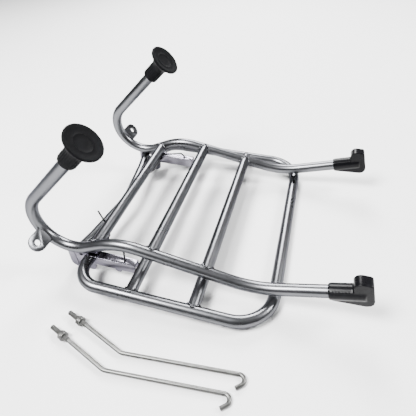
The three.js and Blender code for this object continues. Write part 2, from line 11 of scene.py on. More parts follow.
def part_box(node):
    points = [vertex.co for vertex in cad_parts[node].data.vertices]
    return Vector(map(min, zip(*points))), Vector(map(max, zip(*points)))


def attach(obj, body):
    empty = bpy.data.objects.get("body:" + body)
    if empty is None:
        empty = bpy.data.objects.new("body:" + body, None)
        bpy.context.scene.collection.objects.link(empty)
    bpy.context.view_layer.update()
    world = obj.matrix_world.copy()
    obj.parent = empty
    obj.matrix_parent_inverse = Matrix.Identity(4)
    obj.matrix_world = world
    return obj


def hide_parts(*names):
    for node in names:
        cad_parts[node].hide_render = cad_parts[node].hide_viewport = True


bl_info = {
    "name": "Folding scooter luggage rack",
    "version": (1, 0, 0),
    "blender": (4, 5, 0),
    "location": "3D View > Sidebar > Rack",
    "description": "Smooth chrome tubes, welds, springs, rubber feet and caps for the rack",
    "category": "Object",
}

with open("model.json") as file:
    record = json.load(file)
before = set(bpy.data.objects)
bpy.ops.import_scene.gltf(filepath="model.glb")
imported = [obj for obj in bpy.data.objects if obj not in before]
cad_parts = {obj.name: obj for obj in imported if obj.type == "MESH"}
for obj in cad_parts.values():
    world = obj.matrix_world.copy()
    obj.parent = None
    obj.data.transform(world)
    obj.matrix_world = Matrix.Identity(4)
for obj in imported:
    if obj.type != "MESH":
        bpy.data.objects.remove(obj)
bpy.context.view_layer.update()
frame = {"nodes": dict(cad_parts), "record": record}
MM = 0.001
SIDES = (("left", 1), ("right", -1))

# The rack's own axes: X along it from crossbar 1, Z up from the middle of the platform's tubes.
# They are turned by the angle at which the folded rack rests.
REST_TILT = math.atan2(22.0, 273.65)
HINGE_X = -13.0
GAP = 0.3
LONG_TUBE_Y = 125.5
LOOP_Y = 169.5
LOOP_END_X = 244.0
LOOP_HINGE_BEND = 32
LOOP_END_BEND = 48
LINK_OUTER_Y = 131.5
LINK_INNER_Y = 119.5
CROSSBARS_X = (0.0, 82.0, 155.0)
PLATFORM_BARS_X = (66.0, 150.0)
TIP_ANGLE = math.radians(18.3)
LEG_TOP = Vector((14.0, 117.5, 176.5))
HEEL_CORNER = Vector((-148.5, 125.5, 14.0))
HEEL_BEND = 46
RISE_START = Vector((-24, LONG_TUBE_Y, 14))
RISE_BEND = 55
ARCH_CORNER = Vector((36, LONG_TUBE_Y, 43))
ARCH_BEND = 90
TIP_CORNER = Vector((218.2, 125.5, 11.9))
TIP_BEND = 120
TIP_END = TIP_CORNER + 120.0 * Vector((math.cos(TIP_ANGLE), 0.0, math.sin(TIP_ANGLE)))

# The bowed brace, which is the same on both sides.
BRACE_END_X = -37
BRACE_END_Y = 124.1
BRACE_SHOULDER_X = -29
BRACE_SHOULDER_Y = 88
BRACE_SHOULDER_BEND = 70
BRACE_MIDDLE_X = -17
BRACE_MIDDLE_BEND = 150

# The loose J rods, in millimetres and degrees.
ROD_SHANK = 96
ROD_REACH = 139
ROD_BEND = 24
ROD_FAR_LIFT = 3.5
ROD_NUT_PLACE = 20.5
ROD_TURN = -20
ROD_RADIUS = 0.00245
HOOK_RADIUS = 6
HOOK_TURN = 145
HOOK_STEPS = 24
HOOK_TAIL = 7
THREAD_END = 33

SPRING_COIL = 7.7
SPRING_WIRE = 1.3
SPRING_TURNS_DEGREES = 8 * 360 + 330
SPRING_START = math.radians(70)

CAMERA_PLACE = (0.13131, -0.33486, 0.39105)
CAMERA_LENS = 30.17
CAMERA_AZIMUTH = math.radians(20.472)
CAMERA_ELEVATION = math.radians(41.766)
CAMERA_ROLL = math.radians(-6.838)


def middle(node):
    low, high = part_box(node)
    return (low + high) / 2


FOLD = next(j for j in frame["record"]["behaviour"]["joints"] if j["name"] == "platform_fold")
TURN = Matrix.Rotation(REST_TILT, 3, "Y")
HINGE = Vector(FOLD["pos_m"])
RACK_ORIGIN = HINGE - TURN @ Vector((HINGE_X, 0, 0)) * MM


def on_rack(x, y, z):
    """A place in the rack's own axes, in millimetres, as a place in the scene."""
    return RACK_ORIGIN + TURN @ Vector((x, y, z)) * MM


def rack_direction(direction):
    return (TURN @ Vector(direction)).normalized()


def bent_line(corners, step=math.radians(4)):
    """Points along straight stretches with an arc at each corner: corners are (place, bend radius)."""
    points = []
    for index, (place, radius) in enumerate(corners):
        place = Vector(place)
        if index in (0, len(corners) - 1) or not radius:
            points.append(place)
            continue
        back = (Vector(corners[index - 1][0]) - place).normalized()
        ahead = (Vector(corners[index + 1][0]) - place).normalized()
        turn = math.pi - back.angle(ahead)
        centre = place + (back + ahead).normalized() * (radius / math.cos(turn / 2))
        first = place + back * (radius * math.tan(turn / 2)) - centre
        axis = -back.cross(ahead).normalized()
        count = max(3, round(turn / step))
        for n in range(count + 1):
            points.append(centre + Quaternion(axis, turn * n / count) @ first)
    return points


def long_tube_points():
    corners = [
        (LEG_TOP, 0),
        (HEEL_CORNER, HEEL_BEND),
        (RISE_START, RISE_BEND),
        (ARCH_CORNER, ARCH_BEND),
        (TIP_CORNER, TIP_BEND),
        (TIP_END, 0),
    ]
    return bent_line(corners)


def long_tube_height(x):
    """Height of the long tube's middle over a place between its heel and its tip."""
    points = [p for p in long_tube_points() if p.z < 100]
    for a, b in zip(points, points[1:]):
        if a.x <= x <= b.x:
            return a.z + (b.z - a.z) * (x - a.x) / (b.x - a.x)
    raise RuntimeError(f"the long tube has no point over {x}")


# ---------------------------------------------------------------- sizes and colours


class RackTubes(bpy.types.PropertyGroup):
    tube_radius: FloatProperty(
        name="Tube radius", description="Radius of every main tube", default=0.0079, unit="LENGTH"
    )
    brace_radius: FloatProperty(
        name="Brace radius",
        description="Radius of the bowed tube between the gussets",
        default=0.0069,
        unit="LENGTH",
    )
    roundness: IntProperty(
        name="Roundness", description="Steps in a quarter of a tube", default=9, min=3
    )
    bead_radius: FloatProperty(
        name="Weld bead", description="Half the thickness of a weld bead", default=0.0013, unit="LENGTH"
    )


class RackPlates(bpy.types.PropertyGroup):
    edge: FloatProperty(
        name="Plate edge", description="Rounding of sheet edges", default=0.0005, unit="LENGTH"
    )
    fold_height: FloatProperty(
        name="Pressed rib",
        description="How far the gusset's rib stands out",
        default=0.0011,
        unit="LENGTH",
    )


class RackFinishes(bpy.types.PropertyGroup):
    chrome: FloatVectorProperty(
        name="Chrome",
        description="Colour of the plating",
        subtype="COLOR",
        default=(0.13, 0.132, 0.14),
    )
    plate_chrome: FloatVectorProperty(
        name="Plate chrome",
        description="Colour of the plating on sheet parts",
        subtype="COLOR",
        default=(0.17, 0.163, 0.19),
    )
    zinc: FloatVectorProperty(
        name="Zinc",
        description="Colour of the loose hardware",
        subtype="COLOR",
        default=(0.15, 0.15, 0.145),
    )
    spring: FloatVectorProperty(
        name="Spring wire",
        description="Colour of the oiled wire",
        subtype="COLOR",
        default=(0.045, 0.045, 0.048),
    )
    rubber: FloatVectorProperty(
        name="Rubber",
        description="Colour of the feet",
        subtype="COLOR",
        default=(0.0022, 0.0023, 0.0028),
    )
    plastic: FloatVectorProperty(
        name="Plastic",
        description="Colour of the hook caps",
        subtype="COLOR",
        default=(0.003, 0.003, 0.0038),
    )


def tubes():
    return bpy.context.scene.rack_tubes


def plates():
    return bpy.context.scene.rack_plates


def finishes():
    return bpy.context.scene.rack_finishes


# ---------------------------------------------------------------- making


def only(piece):
    """Selects one piece and nothing else."""
    bpy.ops.object.select_all(action="DESELECT")
    piece.select_set(True)
    bpy.context.view_layer.objects.active = piece


def settled(piece, smooth=35):
    """Puts the piece's place into its mesh and shades it, with its faces outwards."""
    only(piece)
    bpy.ops.object.transform_apply(location=True, rotation=True, scale=True)
    bpy.ops.object.mode_set(mode="EDIT")
    bpy.ops.mesh.select_all(action="SELECT")
    bpy.ops.mesh.remove_doubles(threshold=1e-6)
    bpy.ops.mesh.normals_make_consistent(inside=False)
    bpy.ops.object.mode_set(mode="OBJECT")
    bpy.ops.object.shade_smooth_by_angle(angle=math.radians(smooth))
    return piece


def bar_along(name, points, radius, thickness=None, roundness=None):
    """A round bar along points in the scene. thickness gives each point its share of the radius."""
    bpy.ops.object.select_all(action="DESELECT")
    bpy.ops.curve.primitive_bezier_curve_add(location=(0, 0, 0))
    bar = bpy.context.active_object
    bar.name = name
    curve = bar.data
    curve.splines.clear()
    spline = curve.splines.new("POLY")
    spline.points.add(len(points) - 1)
    for index, place in enumerate(points):
        spline.points[index].co = (*place, 1)
        spline.points[index].radius = thickness[index] if thickness else 1
    curve.dimensions = "3D"
    curve.bevel_depth = radius
    curve.bevel_resolution = roundness or tubes().roundness
    curve.use_fill_caps = True
    only(bar)
    bpy.ops.object.convert(target="MESH")
    return settled(bpy.context.active_object)


def facing(origin, direction):
    """The matrix that stands a piece at origin with its Z axis along direction."""
    return Matrix.Translation(origin) @ direction.to_track_quat("Z", "Y").to_matrix().to_4x4()


def turned(name, profile, origin, direction, sides=96, smooth=30):
    """A turned piece: profile rows are (radius, distance along the axis), in millimetres."""
    bpy.ops.object.select_all(action="DESELECT")
    radius, start = profile[0]
    bpy.ops.mesh.primitive_circle_add(
        vertices=sides, radius=radius * MM, fill_type="NGON", location=(0, 0, start * MM)
    )
    piece = bpy.context.active_object
    piece.name = name
    only(piece)
    bpy.ops.object.transform_apply(location=True)
    bpy.ops.object.mode_set(mode="EDIT")
    bpy.ops.mesh.select_mode(type="FACE")
    bpy.ops.mesh.select_all(action="SELECT")
    height = start
    for next_radius, next_height in profile[1:]:
        rise = (0, 0, (next_height - height) * MM)
        bpy.ops.mesh.extrude_region_move(TRANSFORM_OT_translate={"value": rise})
        share = next_radius / radius
        bpy.ops.transform.resize(value=(share, share, 1), center_override=(0, 0, next_height * MM))
        radius, height = next_radius, next_height
    bpy.ops.object.mode_set(mode="OBJECT")
    piece.matrix_world = facing(origin, direction)
    return settled(piece, smooth)


def finished_copy(node, name, edge, smooth=32):
    """A copy of a CAD node with its flat faces made whole and its edges rounded."""
    piece = bpy.data.objects.new(name, frame["nodes"][node].data.copy())
    piece.data.materials.clear()
    bpy.context.scene.collection.objects.link(piece)
    only(piece)
    bpy.ops.object.mode_set(mode="EDIT")
    bpy.ops.mesh.select_all(action="SELECT")
    bpy.ops.mesh.remove_doubles(threshold=2e-6)
    bpy.ops.mesh.dissolve_limited(angle_limit=math.radians(1))
    bpy.ops.object.mode_set(mode="OBJECT")
    bevel = piece.modifiers.new("edges", "BEVEL")
    bevel.width = edge
    bevel.segments = 2
    bevel.limit_method = "ANGLE"
    bevel.angle_limit = math.radians(40)
    bevel.harden_normals = False
    bpy.ops.object.modifier_apply(modifier=bevel.name)
    return settled(piece, smooth)


def fitted(piece, body, slot_name, look, *nodes):
    """Gives a piece its body and its finish, and hides the CAD nodes that it stands for."""
    piece.data.materials.clear()
    piece.data.materials.append(look)
    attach(piece, body)
    if nodes:
        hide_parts(*nodes)
    return piece


# ---------------------------------------------------------------- finishes


class Mix:
    """A shader socket with arithmetic."""

    def __init__(self, tree, socket):
        self.tree = tree
        self.socket = socket

    def node(self, kind, *inputs, output=0, **settings):
        made = self.tree.nodes.new(kind)
        stops = settings.pop("stops", None)
        for key, value in settings.items():
            setattr(made, key, value)
        if stops:
            ramp = made.color_ramp
            while len(ramp.elements) > len(stops):
                ramp.elements.remove(ramp.elements[-1])
            while len(ramp.elements) < len(stops):
                ramp.elements.new(0.5)
            for element, (place, colour) in zip(ramp.elements, stops):
                element.position = place
                element.color = (colour, colour, colour, 1)
        for key, value in inputs:
            if isinstance(value, Mix):
                self.tree.links.new(value.socket, made.inputs[key])
            else:
                made.inputs[key].default_value = value
        return Mix(self.tree, made.outputs[output])

    def _math(self, operation, a, b):
        return self.node("ShaderNodeMath", (0, a), (1, b), operation=operation)

    def __add__(self, other):
        return self._math("ADD", self, other)

    __radd__ = __add__

    def __mul__(self, other):
        return self._math("MULTIPLY", self, other)

    __rmul__ = __mul__

    def noise(self, scale, detail=3.0, rough=0.5, stretch=(1, 1, 1)):
        spread = self.node("ShaderNodeMapping", ("Vector", self), ("Scale", stretch))
        inputs = ("Vector", spread), ("Scale", scale), ("Detail", detail), ("Roughness", rough)
        return self.node("ShaderNodeTexNoise", *inputs)

    def between(self, low, high):
        """This value, from 0 to 1, carried onto another range."""
        return self * (high - low) + low

    def steep(self, low, high):
        inputs = ("Value", self), ("From Min", low), ("From Max", high)
        return self.node("ShaderNodeMapRange", *inputs)

    def tint(self, colour_a, colour_b):
        """A colour between two, by this value. The mix node's colours are its inputs 6 and 7."""
        inputs = ("Factor", self), (6, (*colour_a, 1)), (7, (*colour_b, 1))
        return self.node("ShaderNodeMix", *inputs, output=2, data_type="RGBA")

    def bump(self, strength, distance):
        inputs = ("Height", self), ("Strength", strength), ("Distance", distance)
        return self.node("ShaderNodeBump", *inputs)


def finish(name, metallic, build):
    """A named material. build gets the piece's own coordinates and returns the sockets to feed."""
    material = bpy.data.materials.new(name)
    material.use_nodes = True
    tree = material.node_tree
    shader = tree.nodes["Principled BSDF"]
    shader.inputs["Metallic"].default_value = metallic
    place = tree.nodes.new("ShaderNodeTexCoord")
    for key, value in build(Mix(tree, place.outputs["Object"])).items():
        if isinstance(value, Mix):
            tree.links.new(value.socket, shader.inputs[key])
        else:
            shader.inputs[key].default_value = value
    return material


def shade(colour, share):
    return tuple(min(1.0, c * share) for c in colour)


# Plating is darker where it is seen at a low angle.
EDGE_TINT = (0.35, 0.35, 0.37, 1)
MADE = {}


def material(kind):
    if kind not in MADE:
        MADE[kind] = {
            "chrome": chrome,
            "plate chrome": plate_chrome,
            "weld chrome": weld_chrome,
            "zinc": zinc,
            "spring wire": spring_wire,
            "rubber": rubber,
            "plastic": plastic,
        }[kind]()
    return MADE[kind]


def chrome():
    colour = tuple(finishes().chrome)

    def build(place):
        cloud = place.noise(22, 4)
        haze = place.noise(160, 5, 0.6).steep(0.45, 0.75)
        scratch = place.noise(900, 2, 0.5, (0.06, 1, 1)).steep(0.62, 0.75)
        wave = place.noise(35, 1)
        return {
            "Base Color": cloud.tint(shade(colour, 0.88), shade(colour, 1.1)),
            "Roughness": cloud.between(0.24, 0.32) + haze * 0.05 + scratch * 0.1,
            "Normal": (wave + scratch * 0.03).bump(0.06, 0.002),
            "Specular Tint": EDGE_TINT,
        }

    return finish("bright chrome", 1.0, build)


def plate_chrome():
    colour = tuple(finishes().plate_chrome)

    def build(place):
        cloud = place.noise(40, 4)
        grain = place.noise(700, 3, 0.6)
        return {
            "Base Color": cloud.tint(shade(colour, 0.85), shade(colour, 1.15)),
            "Roughness": cloud.between(0.16, 0.26) + grain * 0.06,
            "Normal": (cloud + grain * 0.15).bump(0.12, 0.0012),
            "Specular Tint": EDGE_TINT,
        }

    return finish("chromed sheet", 1.0, build)


def weld_chrome():
    colour = tuple(finishes().chrome)

    def build(place):
        lumps = place.noise(420, 3)
        return {
            "Base Color": lumps.tint(shade(colour, 0.5), shade(colour, 0.95)),
            "Roughness": lumps.between(0.16, 0.36),
            "Normal": lumps.bump(0.5, 0.0008),
            "Specular Tint": EDGE_TINT,
        }

    return finish("chromed weld", 1.0, build)


def zinc():
    colour = tuple(finishes().zinc)

    def build(place):
        patch = place.noise(120, 5, 0.65)
        drawn = place.noise(1500, 2)
        return {
            "Base Color": patch.tint(shade(colour, 0.6), shade(colour, 1.2)),
            "Roughness": patch.between(0.28, 0.46),
            "Normal": (patch + drawn * 0.3).bump(0.2, 0.0006),
            "Specular Tint": EDGE_TINT,
        }

    return finish("dull zinc", 1.0, build)


def spring_wire():
    colour = tuple(finishes().spring)

    def build(place):
        patch = place.noise(300, 4)
        return {
            "Base Color": patch.tint(shade(colour, 0.6), shade(colour, 1.5)),
            "Roughness": patch.between(0.25, 0.42),
            "Normal": patch.bump(0.2, 0.0005),
        }

    return finish("oiled spring wire", 1.0, build)


def rubber():
    colour = tuple(finishes().rubber)

    def build(place):
        dust = place.noise(70, 5, 0.6).steep(0.5, 0.85)
        grain = place.noise(1400, 3, 0.7)
        return {
            "Base Color": dust.tint(colour, shade(colour, 2.6)),
            "Roughness": dust.between(0.55, 0.72) + grain * 0.1,
            "Normal": grain.bump(0.25, 0.0005),
            "Specular IOR Level": 0.05,
        }

    return finish("black rubber", 0.0, build)


def plastic():
    colour = tuple(finishes().plastic)

    def build(place):
        peel = place.noise(500, 2)
        scuff = place.noise(90, 5, 0.7).steep(0.55, 0.85)
        return {
            "Base Color": scuff.tint(colour, shade(colour, 3.0)),
            "Roughness": scuff.between(0.26, 0.42) + peel * 0.04,
            "Normal": peel.bump(0.1, 0.0006),
            "Specular IOR Level": 0.1,
        }

    return finish("glossy black plastic", 0.0, build)


# ---------------------------------------------------------------- operators


class RACK_OT_long_tubes(bpy.types.Operator):
    """Makes the two long bent tubes of the fixed frame"""

    bl_idname = "rack.long_tubes"
    bl_label = "Long tubes"

    def execute(self, context):
        for side, sign in SIDES:
            points = [on_rack(p.x, sign * p.y, p.z) for p in long_tube_points()]
            tube = bar_along(f"smooth_long_tube_{side}", points, tubes().tube_radius)
            fitted(tube, "frame", "chrome_tube", material("chrome"), f"long_tube_{side}")
        return {"FINISHED"}


def cross_tube(name, x, z, half_width):
    """A straight tube across the rack. Its ends are hidden in the tubes that it is welded to."""
    bpy.ops.object.select_all(action="DESELECT")
    bpy.ops.mesh.primitive_cylinder_add(
        vertices=72, radius=tubes().tube_radius, depth=2 * half_width * MM, rotation=(math.pi / 2, 0, 0)
    )
    tube = bpy.context.active_object
    tube.name = name
    tube.location = on_rack(x, 0, z)
    return settled(tube)


class RACK_OT_crossbars(bpy.types.Operator):
    """Makes the crossbars of the fixed frame and of the platform"""

    bl_idname = "rack.crossbars"
    bl_label = "Crossbars"

    def execute(self, context):
        for number, x in enumerate(CROSSBARS_X, 1):
            bar = cross_tube(f"smooth_crossbar_{number}", x, long_tube_height(x), LONG_TUBE_Y - 1)
            fitted(bar, "frame", "chrome_tube", material("chrome"), f"frame_crossbar_{number}")
        for number, x in enumerate(PLATFORM_BARS_X, 1):
            bar = cross_tube(f"smooth_platform_bar_{number}", x, 0, LOOP_Y - 1)
            fitted(bar, "platform", "chrome_tube", material("chrome"), f"platform_bar_{number}")
        return {"FINISHED"}


class RACK_OT_platform_loop(bpy.types.Operator):
    """Makes the platform's bent loop, with the drain slot in its end bar"""

    bl_idname = "rack.platform_loop"
    bl_label = "Platform loop"

    def execute(self, context):
        end = LINK_OUTER_Y + GAP
        corners = [
            ((HINGE_X, end, 0), 0),
            ((HINGE_X, LOOP_Y, 0), LOOP_HINGE_BEND),
            ((LOOP_END_X, LOOP_Y, 0), LOOP_END_BEND),
            ((LOOP_END_X, -LOOP_Y, 0), LOOP_END_BEND),
            ((HINGE_X, -LOOP_Y, 0), LOOP_HINGE_BEND),
            ((HINGE_X, -end, 0), 0),
        ]
        points = [on_rack(*p) for p in bent_line(corners)]
        loop = bar_along("smooth_platform_loop", points, tubes().tube_radius)
        bpy.ops.object.select_all(action="DESELECT")
        bpy.ops.mesh.primitive_cylinder_add(vertices=24, radius=0.0016, depth=0.008)
        slot = bpy.context.active_object
        slot.scale = (1, 4, 1)
        slot.location = on_rack(LOOP_END_X, 105, 7.5)
        only(slot)
        bpy.ops.object.transform_apply(location=True, rotation=True, scale=True)
        only(loop)
        cut = loop.modifiers.new("slot", "BOOLEAN")
        cut.operation = "DIFFERENCE"
        cut.solver = "EXACT"
        cut.object = slot
        bpy.ops.object.modifier_apply(modifier=cut.name)
        bpy.data.objects.remove(slot, do_unlink=True)
        bpy.ops.object.shade_smooth_by_angle(angle=math.radians(35))
        fitted(loop, "platform", "chrome_tube", material("chrome"), "platform_loop")
        return {"FINISHED"}


def ripple(count, seed):
    """Shares of a weld bead's thickness, uneven along it and the same on every run."""
    return [
        1 + 0.22 * math.sin(index * 2.1 + seed) + 0.25 * noise.noise((index * 0.37, seed, 0))
        for index in range(count)
    ]


def saddle(x, z, side_y, slope, radius, bar_side):
    """The line where a cross tube meets a long tube of the same size that rises with a slope."""
    points = []
    count = 72
    for index in range(count + 1):
        angle = 2 * math.pi * index / count
        dx = radius * math.cos(angle)
        dz = radius * math.sin(angle)
        off = (dz - slope * dx) / math.sqrt(1 + slope * slope)
        depth = math.sqrt(max(0.0, radius * radius - off * off))
        y = side_y - bar_side * (depth + 0.35)
        points.append(on_rack(x + dx * 1.03, y, z + dz * 1.03))
    return points


class RACK_OT_welds(bpy.types.Operator):
    """Makes the weld bead at each joint of two tubes"""

    bl_idname = "rack.welds"
    bl_label = "Welds"

    def execute(self, context):
        radius = tubes().tube_radius / MM
        bead = tubes().bead_radius
        for side, sign in SIDES:
            for number, x in enumerate(CROSSBARS_X, 1):
                slope = long_tube_height(x + 2) / 4 - long_tube_height(x - 2) / 4
                line = saddle(x, long_tube_height(x), sign * LONG_TUBE_Y, slope, radius, sign)
                share = ripple(len(line), number)
                weld = bar_along(f"weld_crossbar_{number}_{side}", line, bead, share, 3)
                fitted(weld, "frame", "chrome_tube", material("weld chrome"))
            for number, x in enumerate(PLATFORM_BARS_X, 1):
                line = saddle(x, 0, sign * LOOP_Y, 0, radius, sign)
                share = ripple(len(line), number + 5)
                weld = bar_along(f"weld_platform_bar_{number}_{side}", line, bead, share, 3)
                fitted(weld, "platform", "chrome_tube", material("weld chrome"))
        return {"FINISHED"}


class RACK_OT_brace(bpy.types.Operator):
    """Makes the bowed tube between the gussets, with its end welds"""

    bl_idname = "rack.brace"
    bl_label = "Brace tube"

    def execute(self, context):
        corners = [
            ((BRACE_END_X, -BRACE_END_Y, 0), 0),
            ((BRACE_SHOULDER_X, -BRACE_SHOULDER_Y, 0), BRACE_SHOULDER_BEND),
            ((BRACE_MIDDLE_X, 0, 0), BRACE_MIDDLE_BEND),
            ((BRACE_SHOULDER_X, BRACE_SHOULDER_Y, 0), BRACE_SHOULDER_BEND),
            ((BRACE_END_X, BRACE_END_Y, 0), 0),
        ]
        points = [on_rack(*p) for p in bent_line(corners, math.radians(2))]
        tube = bar_along("smooth_brace_tube", points, tubes().brace_radius)
        fitted(tube, "frame", "chrome_tube", material("chrome"), "brace_tube")
        radius = tubes().brace_radius / MM + 0.4
        for side, sign in SIDES:
            ring = []
            for index in range(61):
                angle = 2 * math.pi * index / 60
                x = BRACE_END_X + radius * math.cos(angle)
                ring.append(on_rack(x, sign * (BRACE_END_Y - 0.5), radius * math.sin(angle)))
            weld = bar_along(f"weld_brace_{side}", ring, tubes().bead_radius, ripple(61, 3), 3)
            fitted(weld, "frame", "chrome_tube", material("weld chrome"))
        return {"FINISHED"}


class RACK_OT_plates(bpy.types.Operator):
    """Makes the gussets with their pressed ribs, the fixing tabs and the channel links"""

    bl_idname = "rack.plates"
    bl_label = "Gussets, tabs and links"

    def execute(self, context):
        for side, sign in SIDES:
            sheet = material("plate chrome")
            gusset = finished_copy(f"gusset_plate_{side}", f"rounded_gusset_{side}", plates().edge)
            fitted(gusset, "frame", "chrome_tube", sheet, f"gusset_plate_{side}")
            rib = self.rib(f"gusset_rib_{side}", sign)
            fitted(rib, "frame", "chrome_tube", sheet)
            tab = finished_copy(f"fixing_tab_{side}", f"rounded_tab_{side}", plates().edge)
            fitted(tab, "frame", "chrome_tube", material("chrome"), f"fixing_tab_{side}")
            link_edge = plates().edge * 0.8
            link = finished_copy(f"platform_link_{side}", f"rounded_link_{side}", link_edge)
            fitted(link, "platform", "chrome_tube", sheet, f"platform_link_{side}")
        return {"FINISHED"}

    def rib(self, name, sign):
        """A low pressed rib down the outside of a gusset, tapered at both ends."""
        heights = [2 - n * 2.0 for n in range(15)]
        points = [on_rack(-39.5, sign * (LONG_TUBE_Y + 1.0), z) for z in heights]
        share = [max(0.15, math.sin(math.pi * (n + 0.5) / 15) ** 0.3) for n in range(15)]
        return bar_along(name, points, plates().fold_height * 1.4, share, 4)


class RACK_OT_hinges(bpy.types.Operator):
    """Makes the hinge pins, their nuts and the torsion springs"""

    bl_idname = "rack.hinges"
    bl_label = "Hinges and springs"

    def execute(self, context):
        for side, sign in SIDES:
            origin = on_rack(HINGE_X, 0, 0)
            along = Vector((0, sign, 0))
            profile = [(2.6, 77), (3.4, 77.4), (3.9, 78), (3.9, 131.6), (5.8, 131.8), (5.8, 136)]
            pin = turned(f"turned_pin_{side}", profile, origin, along, 48)
            fitted(pin, "platform", "zinc_steel", material("zinc"), f"hinge_pin_{side}")
            nut = finished_copy(f"hinge_nut_{side}", f"rounded_hinge_nut_{side}", 0.0006)
            fitted(nut, "platform", "zinc_steel", material("zinc"), f"hinge_nut_{side}")
            line = self.spring_line(45.0 if side == "right" else 31.0, sign)
            spring = bar_along(f"wound_spring_{side}", line, SPRING_WIRE * MM, roundness=3)
            wire = material("spring wire")
            fitted(spring, "platform", "spring_wire", wire, f"torsion_spring_{side}")
        return {"FINISHED"}

    def spring_line(self, top, sign):
        """The middle of a spring's wire: its upright inner leg, its turns and its outer leg."""
        coil, wire = SPRING_COIL, SPRING_WIRE
        outer_y = LINK_INNER_Y - 0.6 - wire
        inner_y = 85.5 + 0.6 + wire
        behind = -8 - GAP - wire
        bar_z = long_tube_height(0)
        leg = [
            ((behind - (top - bar_z) * 0.3, 80, top), 0),
            ((behind, 80, bar_z), 4),
            ((behind, 81, coil + 9), 5),
            ((behind, 84, coil + 4), 5),
            (self.on_coil(SPRING_START, inner_y), 0),
        ]
        points = bent_line(leg, math.radians(12))[:-1]
        total = math.radians(SPRING_TURNS_DEGREES)
        count = 26 * 9
        for n in range(count + 1):
            y = inner_y + (outer_y - inner_y) * n / count
            points.append(self.on_coil(SPRING_START - total * n / count, y))
        leg = [
            (points[-1], 0),
            ((HINGE_X + coil + 2, outer_y, coil + 3.5), 8),
            ((38, outer_y + 1.5, 20), 2.5),
            ((41, LONG_TUBE_Y, 10), 2),
            ((41, LONG_TUBE_Y, 6), 0),
        ]
        points += bent_line(leg, math.radians(12))[1:]
        return [on_rack(p.x, sign * p.y, p.z) for p in points]

    def on_coil(self, angle, y):
        return Vector((HINGE_X + SPRING_COIL * math.cos(angle), y, SPRING_COIL * math.sin(angle)))


# The foot from its mouth to its face: (radius, distance along the leg) in millimetres.
FOOT = [(8.3, 3), (8.3, 0.2), (10.2, 0), (11.2, 0.7), (11.5, 2), (11.5, 5), (11.5, 10)]
FOOT += [(11.5, 15), (11.5, 20), (11.6, 23), (12.2, 26), (13.4, 29), (15.4, 32), (18.4, 35)]
FOOT += [(21.4, 37.2), (22.7, 38.4), (23, 39.6), (22.9, 40.8), (22.2, 41.4), (21.0, 41.3)]
FOOT += [(17, 40.2), (12, 39.3), (11.4, 39.6), (10.8, 39.2), (6, 39), (1, 39)]


class RACK_OT_feet(bpy.types.Operator):
    """Makes the fluted rubber feet"""

    bl_idname = "rack.feet"
    bl_label = "Rubber feet"

    def execute(self, context):
        for side, sign in SIDES:
            axis = (LEG_TOP - HEEL_CORNER).normalized()
            mouth = LEG_TOP + axis * (GAP - 26)
            origin = on_rack(mouth.x, sign * mouth.y, mouth.z)
            direction = rack_direction((axis.x, sign * axis.y, axis.z))
            foot = turned(f"moulded_foot_{side}", FOOT, Vector((0, 0, 0)), Vector((0, 0, 1)), 144, 60)
            for vertex in foot.data.vertices:
                height = vertex.co.z / MM
                across = vertex.co.xy.length / MM
                if 4 < height < 24 and across > 9:
                    angle = math.atan2(vertex.co.y, vertex.co.x)
                    fade = min(1, (height - 4) / 3, (24 - height) / 3)
                    vertex.co.xy *= 1 - 0.035 * fade * (0.5 - 0.5 * math.cos(24 * angle))
            foot.matrix_world = facing(origin, direction)
            settled(foot, 60)
            fitted(foot, "frame", "black_rubber", material("rubber"), f"rubber_foot_{side}")
        return {"FINISHED"}


class RACK_OT_caps(bpy.types.Operator):
    """Makes the moulded hook caps"""

    bl_idname = "rack.caps"
    bl_label = "Hook caps"

    def execute(self, context):
        for side, sign in SIDES:
            mesh = frame["nodes"][f"hook_cap_{side}"].data.copy()
            cap = bpy.data.objects.new(f"moulded_cap_{side}", mesh)
            cap.data.materials.clear()
            context.scene.collection.objects.link(cap)
            only(cap)
            bpy.ops.object.mode_set(mode="EDIT")
            bpy.ops.mesh.select_all(action="SELECT")
            bpy.ops.mesh.remove_doubles(threshold=2e-6)
            bpy.ops.object.mode_set(mode="OBJECT")
            remesh = cap.modifiers.new("skin", "REMESH")
            remesh.mode = "VOXEL"
            remesh.voxel_size = 0.0008
            bpy.ops.object.modifier_apply(modifier=remesh.name)
            soften = cap.modifiers.new("soft edges", "SMOOTH")
            soften.factor = 0.5
            soften.iterations = 9
            bpy.ops.object.modifier_apply(modifier=soften.name)
            settled(cap, 70)
            fitted(cap, "frame", "black_plastic", material("plastic"), f"hook_cap_{side}")
        return {"FINISHED"}


